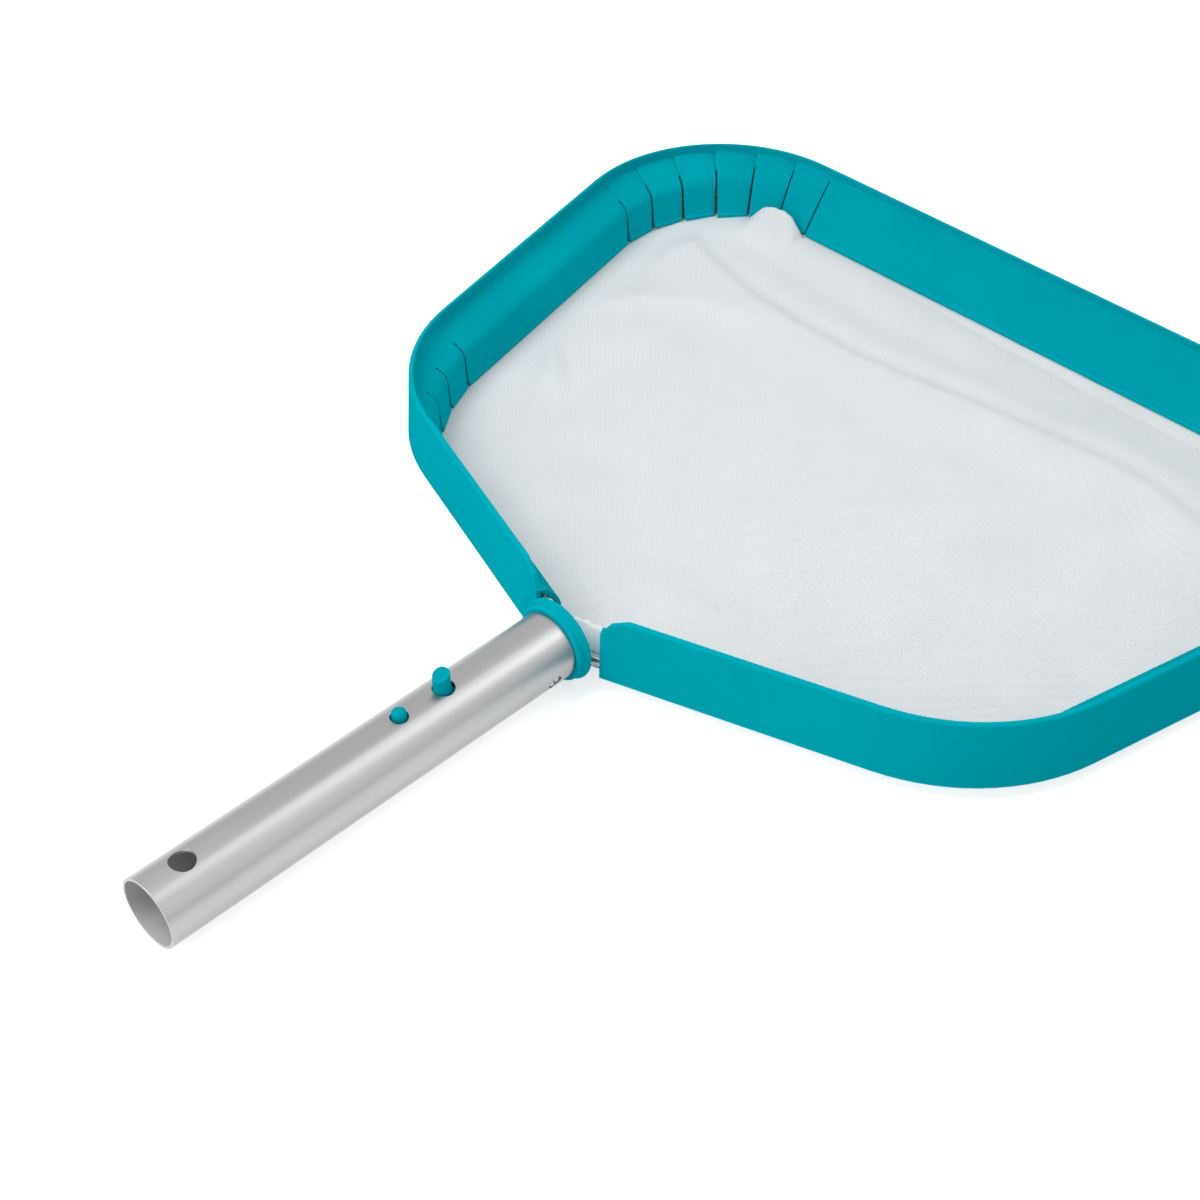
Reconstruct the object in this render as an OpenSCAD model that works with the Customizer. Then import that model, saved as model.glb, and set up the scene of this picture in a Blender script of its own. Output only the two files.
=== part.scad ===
// Leaf skimmer net: a flat mesh in a slotted plastic lip on a short aluminium handle tube.
// X is right, Y runs along the tube toward the net, Z is up. Pieces are drawn with Z = 0 at the
// underside of the lip and Y = 0 at the face of the collar that the tube meets, then moved so that
// the origin is the middle of the footprint at the lowest point.

/* [Handle tube] */
// Outside diameter of the aluminium tube
tube_od = 30; // [26:0.5:40]
// Wall thickness of the tube
tube_wall = 1.2; // [0.8:0.1:2]
// Length of the tube
tube_len = 200.3; // [160:0.1:400]
// Height of the tube's axis above the underside of the lip
tube_z = 12; // [11:0.5:25]
// Diameter of the hole that takes a pole's spring button
pole_hole_d = 10.5; // [6:0.1:14]
// Distance from the open end to the centre of the pole hole
pole_hole_in = 17.5; // [12:0.5:40]
// Gap between the tube's end and the collar
tube_seat_gap = 0.2; // [0.1:0.05:1]

/* [Neck] */
// Outside diameter of the collar at its back edge
collar_od = 37.4; // [34:0.1:50]
// Thickness of the collar along the tube
collar_len = 5.6; // [4:0.1:12]
// How far the small front lip of the collar stands over the tube
collar_lip = 2.3; // [1:0.1:3]
// Radial play between the neck's plug and the tube
plug_clear = 0.1; // [0.05:0.01:0.3]
// How far the plug runs past the lever's pivot
plug_past = 9; // [7:0.5:30]
// Length of the solid part of the plug behind the collar
plug_solid = 44; // [40:0.5:46]
// Length of the solid part at the plug's far end
plug_tip = 17; // [14:0.5:20]
// Wall thickness of the hollow part of the plug
plug_wall = 2.6; // [2:0.1:4]
// Length of each rod end inside the plug
rod_grip = 36; // [20:0.5:40]

/* [Latch lever] */
// Distance from the collar face to the lever's pivot
pivot_in = 106; // [100:0.5:110]
// Depth of the pivot below the inside of the tube
pivot_down = 3.4; // [3.2:0.1:4.5]
// Diameter of the pivot pin
pin_d = 2; // [1.5:0.1:2.4]
// Radial play between the pin and the lever
pin_clear = 0.06; // [0.02:0.01:0.1]
// Radial play between the pin and the plug
pin_seat = 0.05; // [0.02:0.01:0.1]
// Width of the lever
lever_w = 7.2; // [6:0.1:8]
// Thickness of the lever
lever_t = 4; // [3:0.1:5]
// Play between the lever and the sides of its slot
lever_side = 0.4; // [0.3:0.05:1]
// Play between the lever and the inside of the tube at rest
lever_rest = 0.3; // [0.2:0.05:1]
// Distance from the collar face to the release button
release_in = 80.2; // [72:0.1:90]
// Diameter of the release button
release_d = 6; // [4:0.1:6.4]
// Height of the release button above the tube
release_up = 3.5; // [2:0.1:6]
// Diameter of the hole round the release button
release_hole_d = 7.6; // [7:0.1:9]
// Distance from the collar face to the lock button
lock_in = 58.2; // [52:0.1:64]
// Diameter of the lock button
lock_d = 7.2; // [5:0.1:7.4]
// Height of the lock button above the tube at its high side
lock_up = 8.2; // [5:0.1:9]
// Drop of the lock button's slanted top
lock_slant = 2.6; // [1:0.1:4]
// Diameter of the hole round the lock button
lock_hole_d = 9.4; // [9.2:0.1:12]
// Play on the handle side of the lock button, where it rests in its hole
lock_back_gap = 0.25; // [0.2:0.05:0.8]

/* [Latch spring] */
// Wire diameter of the spring under the lever
spring_wire = 0.8; // [0.5:0.1:1]
// Mean diameter of the spring
spring_d = 6; // [5:0.1:7]
// Number of turns
spring_turns = 7; // [4:1:9]
// Gap between the spring and its seats
spring_gap = 0.2; // [0.1:0.05:0.5]

/* [Tube screw] */
// Distance from the collar face to the screw
screw_in = 11; // [8:0.5:14]
// Angle of the screw round the tube, from the top
screw_turn = 108; // [90:1:112]
// Diameter of the screw's head
screw_head_d = 5.8; // [4:0.1:6]
// Thickness of the screw's head
screw_head_t = 1.3; // [1:0.1:1.6]
// Diameter of the screw's shank
screw_d = 3; // [2:0.1:3.4]
// Length of the shank in the plug
screw_len = 7.5; // [5:0.5:9]
// Radial play round the head and the shank
screw_clear = 0.4; // [0.3:0.05:0.8]

/* [Frame outline] */
// Angle between each arm and the X axis
arm_slope = 18.6; // [10:0.1:30]
// Y at which the two arms' outer faces would meet
arm_y = 2.5; // [0:0.1:12]
// Angle by which each side leans outward from the Y axis
side_lean = 13.4; // [0:0.1:20]
// X at which a side's outer face would cross the collar face
side_x = 164.3; // [140:0.1:220]
// Y of the far outer face
far_y = 343.7; // [300:0.5:400]
// Radius of the two corners near the handle
near_r = 91; // [80:0.5:110]
// Radius of the two far corners
far_r = 79; // [70:0.5:90]
// Radius of the hem where it passes behind the collar
hem_v_r = 36; // [20:0.5:60]
// X of the cut end of an arm at its outer face
arm_end_out = 19.2; // [18:0.1:30]
// X of the cut end of an arm at its inner face
arm_end_in = 13.5; // [9:0.1:24]

/* [Lip section] */
// Height of the lip's rim
rim_z = 32.4; // [28:0.1:45]
// Thickness of the outer wall
wall_t = 2; // [1.5:0.1:3]
// How far the outer wall leans inward at the rim
wall_lean = 2; // [0:0.1:4]
// Width of the chamfer on the rim
rim_round = 0.7; // [0.3:0.1:0.9]
// Height at which the sloping shelf leaves the outer wall
shelf_z = 27; // [24:0.1:28]
// The same height along the far edge
shelf_far_z = 30.5; // [26:0.1:31]
// Height of the crease between shelf and inner wall, on arms and sides
crease_z = 16.5; // [14:0.1:22]
// The same height along the far edge
crease_far_z = 21.3; // [16:0.1:23]
// Size of the rounding at that crease
crease_r = 3.4; // [1:0.1:4]
// Thickness of the shelf and the inner wall
shelf_t = 1.6; // [1.2:0.1:2.4]
// Height of the inner wall's foot on arms and sides
inner_z = -3; // [-4:0.1:2]
// The same height along the far edge
inner_far_z = 1.6; // [-3:0.1:4]
// Width over outer face and crease on the arms
arm_w = 11.8; // [10.4:0.1:14]
// Width over outer face and crease on the sides
side_w = 17.8; // [14:0.1:30]
// Width over outer face and foot of the inner wall on the sides
side_foot_w = 19; // [14:0.1:30]
// Width over outer face and crease along the far edge
far_w = 10.2; // [9.8:0.1:20]
// Width at the foot of the inner wall along the far edge
far_foot_w = 22.8; // [20:0.1:32]
// How far the bead at the foot of the inner wall stands out
bead_out = 0.7; // [0.3:0.1:1.5]
// Height of that bead
bead_h = 2; // [1:0.1:4]
// Width of the snap lip under the rod, on the outer wall
snap_w = 1.5; // [0.8:0.1:2]
// Height of that snap lip
snap_h = 0.8; // [0.5:0.1:1]
// Length over which the rim drops toward the arm's end
end_drop_len = 12; // [6:0.5:20]
// Height of the rim at the arm's end
end_z = 23; // [20:0.1:30]
// Length of the steep part of that drop
end_knee_len = 4.2; // [2:0.1:6]
// Height where the steep part ends
end_knee_z = 28.8; // [24:0.1:31]

/* [Slits] */
// Number of slits in each corner
slits = 7; // [3:1:9]
// Width of a slit at the crease
slit_w = 1.1; // [0.6:0.1:2]
// Width of a slit at the foot of the inner wall
slit_foot_w = 1.9; // [0.6:0.1:3]
// Diameter of the round end of a slit's hook
slit_end_d = 1.7; // [0.8:0.1:3]
// Length of a slit's hook in the shelf
slit_hook = 4.6; // [2:0.1:6]
// Distance of the first near slit before the near corner
near_slit_at = 44.3; // [30:0.5:60]
// Distance between near slits along the outer face
near_pitch = 21.3; // [14:0.1:22]
// How much closer the slits stand in the middle of the corner
near_bunch = 5; // [0:0.5:8]
// Near slit from which the shelf widens
widen_from = 2; // [0:0.5:4]
// Far slit from which the inner wall begins to lean inward
lean_from = 2; // [0:0.5:4]
// Distance of the first far slit after the far corner begins
far_slit_at = 6.5; // [0:0.5:10]
// Distance between far slits along the outer face
far_pitch = 23.7; // [12:0.1:25]
// How much further along the slits stand in the middle of that corner
far_bunch = 0.8; // [0:0.5:8]

/* [Rod and hem] */
// Diameter of the frame rod
rod_d = 4; // [3:0.1:4.2]
// Height of the rod's axis
rod_z = 4; // [3.9:0.1:6]
// Distance of each rod end from the middle plane
rod_x = 5.2; // [4:0.1:6]
// Bend radius of the rod behind the collar
rod_bend = 7; // [5:0.1:9]
// Play between rod and hem sleeve, and between rod and plug
rod_clear = 0.2; // [0.1:0.05:0.3]
// Thickness of the hem's fabric
hem_t = 0.6; // [0.5:0.1:0.7]
// Play between the hem and the plastic round it
hem_clear = 0.25; // [0.2:0.05:0.4]
// Height of the hem's upper edge
hem_top = 18; // [12:0.5:18.5]
// Thickness of the doubled hem above the rod
hem_band = 1.3; // [1:0.1:2]

/* [Net] */
// Thickness of the mesh
net_t = 0.6; // [0.4:0.1:1]
// How far the net's floor lies below the foot of the inner wall
net_sag = 1.6; // [0.5:0.1:6]
// Height of the soft folds in the net
net_fold = 0.6; // [0:0.1:1.2]
// Distance over which the net drops from the lip to its floor
net_drop = 6; // [3:0.5:12]
// Steps round the net
net_steps = 56; // [40:4:64]
// Rings from the middle to the rim
net_rings = 10; // [6:1:12]

/* [Hidden] */
$fn = 96;
tube_r = tube_od / 2;
bore_r = tube_r - tube_wall;
plug_r = bore_r - plug_clear;
plug_len = pivot_in + plug_past;
pivot_up = bore_r - pivot_down;
tube_y0 = -tube_seat_gap - tube_len;
rod_r = rod_d / 2;
sleeve_r = rod_r + rod_clear + hem_t;
rod_in = wall_t + lean_at(rod_z + sleeve_r) + hem_clear + sleeve_r;
far_lean = far_foot_w - far_w;

// Inward shift of the outer wall at height z
function lean_at(z) = wall_lean * z / rim_z;

// Outline: the arm turns into the side at N, the side into the far edge at F
turn_n = 90 - side_lean - arm_slope;
turn_f = 90 + side_lean;
n_x = (side_x + arm_y * tan(side_lean)) / (1 - tan(arm_slope) * tan(side_lean));
n_y = arm_y + n_x * tan(arm_slope);
f_x = side_x + far_y * tan(side_lean);
near_tan = near_r * tan(turn_n / 2);
far_tan = far_r * tan(turn_f / 2);
v_tan = hem_v_r * tan(arm_slope);
arm_dir = [cos(arm_slope), sin(arm_slope)];
side_dir = [sin(side_lean), cos(side_lean)];
arm_n = [sin(arm_slope), -cos(arm_slope)];
side_n = [cos(side_lean), -sin(side_lean)];
n1 = [n_x, n_y] - near_tan * arm_dir;
n2 = [n_x, n_y] + near_tan * side_dir;
f1 = [f_x, far_y] - far_tan * side_dir;
f2 = [f_x - far_tan, far_y];
near_c = n1 - near_r * arm_n;
far_c = [f_x - far_tan, far_y - far_r];
v1 = [0, arm_y] + v_tan * arm_dir;
v_c = v1 - hem_v_r * arm_n;

// Point on the outer face, and its outward normal, s mm along the path from n1 or from f1
function rad(len, r) = len / r * 180 / PI;
function near_a(s) = arm_slope - 90 + rad(s, near_r);
function near_pt(s) = s < 0 ? n1 + s * arm_dir :
  near_c + near_r * [cos(near_a(s)), sin(near_a(s))];
function near_nm(s) = s < 0 ? arm_n : [cos(near_a(s)), sin(near_a(s))];
far_arc = far_r * turn_f * PI / 180;
function far_a(s) = rad(s, far_r) - side_lean;
function far_pt(s) = s > far_arc ? f2 - [s - far_arc, 0] :
  far_c + far_r * [cos(far_a(s)), sin(far_a(s))];
function far_nm(s) = s > far_arc ? [0, 1] : [cos(far_a(s)), sin(far_a(s))];
function smooth(t) = t <= 0 ? 0 : t >= 1 ? 1 : t * t * (3 - 2 * t);

// Slit stations: [outer point, normal, crease width, foot width, heights of shelf, crease, foot]
last = slits - 1;
function near_s(k) = k * near_pitch - near_slit_at
  - (k > widen_from ? near_bunch * sin(180 * (k - widen_from) / (last - widen_from)) : 0);
function near_w(k) = arm_w + (side_w - arm_w) * smooth((k - widen_from) / (last - widen_from));
function near_foot(k) = near_w(k) + (side_foot_w - side_w) * smooth((k - widen_from) / (last - widen_from));
function near_st(k) = [near_pt(near_s(k)), near_nm(near_s(k)), near_w(k), near_foot(k), shelf_z,
  crease_z, inner_z];
function far_s(k) = far_slit_at + k * far_pitch + far_bunch * sin(180 * k / last);
function far_mix(t, a, b) = a + (b - a) * t;
function lean_mix(k) = smooth((k - lean_from) / (last - lean_from));
function far_st(k) = [far_pt(far_s(k)), far_nm(far_s(k)), far_mix(lean_mix(k), side_w, far_w),
  far_mix(k / last, side_foot_w, far_foot_w), far_mix(k / last, shelf_z, shelf_far_z),
  far_mix(k / last, crease_z, crease_far_z), far_mix(k / last, inner_z, inner_far_z)];
arm_st = [[0, arm_y] + arm_end_in * arm_dir, arm_n, arm_w, arm_w, shelf_z, crease_z, inner_z];
mid_st = [[0, far_y], [0, 1], far_w, far_foot_w, shelf_far_z, crease_far_z, inner_far_z];
low_z = min(inner_z, inner_far_z, 0) - 1;
stations = concat([arm_st], [for (k = [0:last]) near_st(k)], [for (k = [0:last]) far_st(k)],
  [mid_st]);
function crease(st) = st[0] - st[2] * st[1];
function foot(st) = st[0] - st[3] * st[1];
function flip(p) = [-p[0], p[1]];

teal = [0, 0.66, 0.72];
metal = [0.72, 0.73, 0.74];
white = [0.88, 0.9, 0.92];

// Moves a piece from the drawing position to the part's origin
module place() {
  translate([0, -(far_y + tube_y0) / 2, collar_od / 2 - tube_z])
    children();
}

// Puts a shape drawn along Z onto the tube's axis, running from y toward the open end
module on_axis(y) {
  translate([0, y, tube_z])
    rotate([90, 0, 0])
      children();
}

module mirrored() {
  children();
  mirror([1, 0, 0])
    children();
}

module handle_tube() {
  color(metal)
    place()
      difference() {
        on_axis(-tube_seat_gap)
          cylinder(h = tube_len, r = tube_r);
        on_axis(1)
          cylinder(h = tube_len + 2, r = bore_r);
        translate([0, tube_y0 + pole_hole_in, tube_z])
          cylinder(h = tube_od, d = pole_hole_d);
        translate([0, -release_in, tube_z])
          cylinder(h = tube_od, d = release_hole_d);
        translate([0, -lock_in + lock_shift, tube_z])
          cylinder(h = tube_od, d = lock_hole_d);
        screw_axis()
          cylinder(h = tube_od, d = screw_head_d + 2 * screw_clear);
      }
}
lock_shift = (lock_hole_d - lock_d) / 2 - lock_back_gap;

// Axis of the side screw, pointing out through the tube's wall
module screw_axis() {
  translate([0, -screw_in, tube_z])
    rotate([0, screw_turn, 0])
      children();
}
screw_seat = plug_r - 0.6;

lip_r = tube_r + collar_lip;
collar_r = collar_od / 2;
collar_profile = [[0, 0], [lip_r - 0.9, 0], [lip_r - 0.3, 0.25], [lip_r - 0.05, 0.7], [lip_r, 1.2],
  [lip_r - 0.05, 1.9], [lip_r + 0.1, 2.6], [lip_r + 0.45, 3.3], [collar_r - 0.5, collar_len - 1.6],
  [collar_r - 0.1, collar_len - 1.1], [collar_r, collar_len - 0.6], [collar_r - 0.1, collar_len - 0.2],
  [collar_r - 0.5, collar_len], [0, collar_len]];
slot_w = lever_w + 2 * lever_side;
core_r = plug_r - plug_wall;
core_y0 = -plug_len + plug_tip;
seat_z = tube_z - core_r + 1.4;

module neck() {
  color(teal)
    place()
      difference() {
        union() {
          translate([0, 0, tube_z])
            rotate([-90, 0, 0])
              rotate_extrude()
                polygon(collar_profile);
          difference() {
            on_axis(0.5)
              cylinder(h = plug_len + 0.5, r = plug_r);
            on_axis(-plug_solid)
              cylinder(h = plug_len - plug_solid - plug_tip, r = core_r);
          }
          translate([0, -lock_in, tube_z - core_r - 1])
            cylinder(h = seat_z - tube_z + core_r + 1, r = spring_d / 2 + 1);
        }
        translate([-slot_w / 2, -pivot_in - lever_end - lever_side, tube_z + pivot_up - boss_r - 1])
          cube([slot_w, pivot_in + lever_end + lever_side - plug_solid, tube_od]);
        pivot_bore(pin_d / 2 + pin_seat);
        mirrored()
          translate([rod_x, 1 + collar_len, rod_z])
            rotate([90, 0, 0])
              cylinder(h = 1 + collar_len + rod_grip + rod_clear, r = rod_r + rod_clear);
        screw_axis()
          translate([0, 0, screw_seat])
            cylinder(h = tube_od, d = screw_head_d + 2 * screw_clear);
        screw_axis()
          translate([0, 0, screw_seat - screw_len - screw_clear])
            cylinder(h = tube_od, r = screw_d / 2 + 0.1);
      }
}

boss_r = pin_d / 2 + 1.5;
lever_end = boss_r;
lever_z = tube_z + sqrt(bore_r * bore_r - lever_w * lever_w / 4) - lever_rest;
lever_front = -lock_in + lock_d / 2 + 1.4;
pin_top = pivot_up + pin_d / 2 + pin_seat;
pin_half = sqrt(plug_r * plug_r - pin_top * pin_top) - 0.1;

module pivot_bore(r) {
  translate([0, -pivot_in, tube_z + pivot_up])
    rotate([0, 90, 0])
      cylinder(h = tube_od, r = r, center = true);
}

module latch_lever() {
  color(teal)
    place()
      difference() {
        union() {
          translate([-lever_w / 2, -pivot_in, lever_z - lever_t])
            cube([lever_w, pivot_in + lever_front, lever_t]);
          translate([0, -pivot_in, tube_z + pivot_up])
            rotate([0, 90, 0])
              cylinder(h = lever_w, r = boss_r, center = true);
          translate([0, -release_in, lever_z - 1])
            rotate_extrude()
              polygon([[0, 0], [release_d / 2, 0], [release_d / 2, release_h - 1.6],
                [release_d / 2 - 0.3, release_h - 0.9], [release_d / 2 - 0.9, release_h - 0.3],
                [release_d / 2 - 1.7, release_h], [0, release_h]]);
          difference() {
            translate([0, -lock_in, lever_z - 1])
              cylinder(h = lock_h, d = lock_d);
            translate([0, -lock_in + lock_d / 2 - 1.4, tube_z + tube_r + lock_up])
              rotate([slant, 0, 0])
                translate([-lock_d, -2 * lock_d, 0])
                  cube([2 * lock_d, 2 * lock_d, lock_d]);
          }
          translate([0, -lock_in, lever_z - lever_t - peg_h])
            cylinder(h = peg_h + 1, r = peg_r);
        }
        pivot_bore(pin_d / 2 + pin_clear);
      }
}
slant = atan(lock_slant / lock_d);
release_h = tube_z + tube_r + release_up - lever_z + 1;
lock_h = tube_z + tube_r + lock_up - lever_z + 1;
peg_h = 2;
peg_r = spring_d / 2 - spring_wire / 2 - 0.5;

module latch_pin() {
  color(metal)
    place()
      translate([0, -pivot_in, tube_z + pivot_up])
        rotate([0, 90, 0])
          cylinder(h = 2 * pin_half, d = pin_d, center = true);
}

// Coil: one unbroken tube of six-sided rings
coil_n = 14;
coil_rings = spring_turns * coil_n;
coil_low = seat_z + spring_gap + spring_wire / 2;
coil_high = lever_z - lever_t - spring_gap - spring_wire / 2;
coil_pitch = (coil_high - coil_low) / spring_turns;
function coil_pt(i, j) =
  let (a = 360 * i / coil_n, b = 60 * j, r = spring_d / 2 + spring_wire / 2 * cos(b))
  [r * cos(a), r * sin(a), coil_low + coil_pitch * i / coil_n + spring_wire / 2 * sin(b)];
echo(least_coil_gap = coil_pitch - spring_wire);

module latch_spring() {
  side_faces = [for (i = [0:coil_rings - 1], j = [0:5]) each
    let (a = 6 * i + j, b = 6 * i + (j + 1) % 6) [[a, b, b + 6], [a, b + 6, a + 6]]];
  cap_a = [for (j = [1:4]) [0, j + 1, j]];
  cap_b = [for (j = [1:4]) [6 * coil_rings, 6 * coil_rings + j, 6 * coil_rings + j + 1]];
  color(metal)
    place()
      translate([0, -lock_in, 0])
        polyhedron([for (i = [0:coil_rings], j = [0:5]) coil_pt(i, j)],
          concat(side_faces, cap_a, cap_b));
}

module tube_screw() {
  color(metal)
    place()
      screw_axis()
        difference() {
          union() {
            translate([0, 0, screw_seat - screw_len])
              cylinder(h = screw_len, d = screw_d);
            translate([0, 0, screw_seat])
              cylinder(h = screw_head_t, d1 = screw_head_d, d2 = screw_head_d - 0.8);
          }
          translate([0, 0, screw_seat + screw_head_t])
            rotate([0, 0, 30])
              cube([screw_head_d + 1, 0.9, 1.4], center = true);
        }
}

// Round bar of radius r along the inset outline, from x0 on one arm to x0 on the other
module sweep(r, x0) {
  inset = rod_in;
  a0 = [0, arm_y + inset / cos(arm_slope)] + x0 / cos(arm_slope) * arm_dir;
  a1 = n1 - inset * arm_n;
  s0 = n2 - inset * side_n;
  s1 = f1 - inset * side_n;
  mirrored() {
    bar(a0, a1, arm_slope, r);
    turn_bar(near_c, near_r - inset, arm_slope - 90, turn_n, r);
    bar(s0, s1, 90 - side_lean, r);
    turn_bar(far_c, far_r - inset, -side_lean, turn_f, r);
  }
  bar([f2[0], far_y - inset], [-f2[0], far_y - inset], 180, r);
}

module bar(p, q, a, r) {
  translate([p[0], p[1], rod_z])
    rotate([0, 0, a])
      rotate([0, 90, 0])
        cylinder(h = norm(q - p), r = r);
}

// Each bend is a little thinner than the straights and runs into them
bend_step = 0.05;
bend_lap = 0.5;
module turn_bar(c, big_r, a0, turn, r) {
  lap = rad(bend_lap, big_r);
  translate([c[0], c[1], rod_z])
    rotate([0, 0, a0 - lap])
      rotate_extrude(angle = turn + 2 * lap)
        translate([big_r, 0])
          circle(r - bend_step);
}

// The rod leaves the plug at rod_x and bends into the arm
rod_line = arm_y + rod_in / cos(arm_slope);
bend_x = rod_x + rod_bend;
bend_y = rod_line + bend_x * tan(arm_slope) - rod_bend / cos(arm_slope);
bend_end_x = bend_x - rod_bend * sin(arm_slope);

module frame_rod() {
  color(metal)
    place()
      union() {
        sweep(rod_r, bend_end_x);
        mirrored() {
          turn_bar([bend_x, bend_y], rod_bend, 90 + arm_slope, 90 - arm_slope, rod_r);
          translate([rod_x, bend_y, rod_z])
            rotate([90, 0, 0])
              cylinder(h = bend_y + rod_grip, r = rod_r);
        }
      }
}

// Plan outline inset by d, with true arcs; the two arms meet in a point or, if rounded, in an arc
module outline(d, rounded = false) {
  start = rounded ? [flip(v1 - d * arm_n), v_c, v1 - d * arm_n] :
    [[0, arm_y + d / cos(arm_slope)]];
  h = [n1 - d * arm_n, near_c, n2 - d * side_n, f1 - d * side_n, far_c, f2 - [0, d]];
  polygon(concat(start, h, [for (i = [5:-1:0]) flip(h[i])]));
  if (rounded)
    translate(v_c)
      circle(hem_v_r - d);
  mirrored() {
    translate(near_c)
      circle(near_r - d);
    translate(far_c)
      circle(far_r - d);
  }
}

module band(d, t, z, h) {
  translate([0, 0, z])
    linear_extrude(h)
      difference() {
        outline(d, rounded = true);
        outline(d + t, rounded = true);
      }
}

// Vertical prism between the cut lines of two stations
module sector(a, b, z, h) {
  translate([0, 0, z])
    linear_extrude(h)
      polygon([a[0] + 5 * a[1], a[0] - 40 * a[1], b[0] - 40 * b[1], b[0] + 5 * b[1]]);
}

// Shelf and inner wall of one flat panel, from station a to station b
module panel(a, b) {
  p = crease(a);
  q = crease(b);
  ang = atan2(q[1] - p[1], q[0] - p[0]);
  lean = ((a[3] - a[2]) + (b[3] - b[2])) / 2;
  wide = (a[2] + b[2]) / 2;
  z_out = (a[4] + b[4]) / 2;
  zc = (a[5] + b[5]) / 2;
  zf = (a[6] + b[6]) / 2;
  rise = (z_out - zc) / (wide - wall_t);
  steep = lean / (zc - zf);
  reach = wide + 2 * wall_t;
  under = 1.05 * shelf_t;
  intersection() {
    translate([p[0], p[1], 0])
      rotate([0, 0, ang])
        translate([-30, 0, 0])
          rotate([90, 0, 90])
            linear_extrude(norm(q - p) + 60)
              polygon(concat([[-reach, zc + rise * reach]],
                [for (t = [0:0.25:1]) [(steep * t * t - (1 - t) * (1 - t)) * crease_r,
                  zc + (rise * (1 - t) * (1 - t) - t * t) * crease_r]],
                [[lean, zf + bead_h], [lean + bead_out, zf + 0.8 * bead_h], [lean + bead_out, zf],
                [lean - shelf_t, zf], [-shelf_t, zc - under],
                [-reach, zc + rise * (reach - shelf_t) - under]]));
    sector(a, b, low_z, rim_z - low_z);
    translate([0, 0, low_z])
      linear_extrude(rim_z - low_z)
        outline(wall_lean + 0.3 * wall_t);
  }
}

// Vertical slit on the cut line of a station, wider at its foot, with a round end in the shelf
module slit(st) {
  p = crease(st);
  ang = atan2(st[1][1], st[1][0]);
  translate([p[0], p[1], 0])
    rotate([0, 0, ang]) {
      translate([-30, 0, 0])
        rotate([90, 0, 90])
          linear_extrude(30 + slit_hook)
            polygon([[-slit_foot_w / 2, low_z], [slit_foot_w / 2, low_z], [slit_w / 2, st[5] - slit_w],
              [slit_w / 2, rim_z], [-slit_w / 2, rim_z], [-slit_w / 2, st[5] - slit_w]]);
      translate([slit_hook, 0, st[5] - slit_end_d])
        cylinder(h = rim_z, d = slit_end_d, $fn = 24);
    }
}

// Everything on the handle side of the arm's cut end, with the sloping end of the rim
module arm_end_cut() {
  out = [arm_end_out, arm_y + arm_end_out * tan(arm_slope)];
  inn = [arm_end_in, arm_y + arm_w / cos(arm_slope) + arm_end_in * tan(arm_slope)];
  d = inn - out;
  translate([0, 0, low_z])
    linear_extrude(rim_z - low_z + 1)
      polygon([out - d, inn + 2 * d, [-1, inn[1] + 2 * d[1]], [-1, out[1] - d[1]]]);
  translate([out[0], out[1], 0])
    rotate([0, 0, arm_slope])
      translate([0, arm_w + 10, 0])
        rotate([90, 0, 0])
          linear_extrude(arm_w + 30)
            polygon([[-20, end_z], [0, end_z], [end_knee_len, end_knee_z],
              [end_drop_len, rim_z + 0.01], [end_drop_len, rim_z + 2], [-20, rim_z + 2]]);
}

// Outer wall with its rim and snap lip: distances from the outer face inward, and heights
chamfer_z = rim_z - rim_round;
wall_profile = [[0, 0], [lean_at(chamfer_z), chamfer_z], [wall_lean + rim_round, rim_z],
  [wall_lean + wall_t, rim_z], [wall_t + lean_at(snap_h), snap_h], [wall_t + snap_w, snap_h],
  [wall_t + snap_w, 0]];

module wall_bar(p, q, a) {
  translate([p[0], p[1], 0])
    rotate([0, 0, a])
      rotate([90, 0, 90])
        linear_extrude(norm(q - p))
          polygon(wall_profile);
}

module wall_turn(c, r, a0, turn) {
  lap = rad(bend_lap, r);
  translate([c[0], c[1], 0])
    rotate([0, 0, a0 - lap])
      rotate_extrude(angle = turn + 2 * lap)
        polygon([for (p = wall_profile) [r - bend_step - p[0], p[1]]]);
}

module half_wall() {
  wall_bar([0, arm_y], n1, arm_slope);
  wall_turn(near_c, near_r, arm_slope - 90, turn_n);
  wall_bar(n2, f1, 90 - side_lean);
  wall_turn(far_c, far_r, -side_lean, turn_f);
  wall_bar(f2, [-1, far_y], 180);
}

module half_channel() {
  difference() {
    union()
      for (i = [0:len(stations) - 2])
        panel(stations[i], stations[i + 1]);
    for (i = [1:len(stations) - 2])
      slit(stations[i]);
  }
}

module frame_channel() {
  color(teal)
    place()
      difference() {
        union() {
          mirrored() {
            half_wall();
            half_channel();
          }
        }
        mirrored()
          arm_end_cut();
      }
}

band_z = rod_z + rod_r + rod_clear + hem_t / 2;
module net_hem() {
  color(white)
    place()
      difference() {
        union() {
          sweep(sleeve_r, arm_end_out + 1);
          band(rod_in - hem_band / 2, hem_band, band_z, hem_top - band_z);
        }
        sweep(rod_r + rod_clear, arm_end_out - 6);
      }
}

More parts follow.
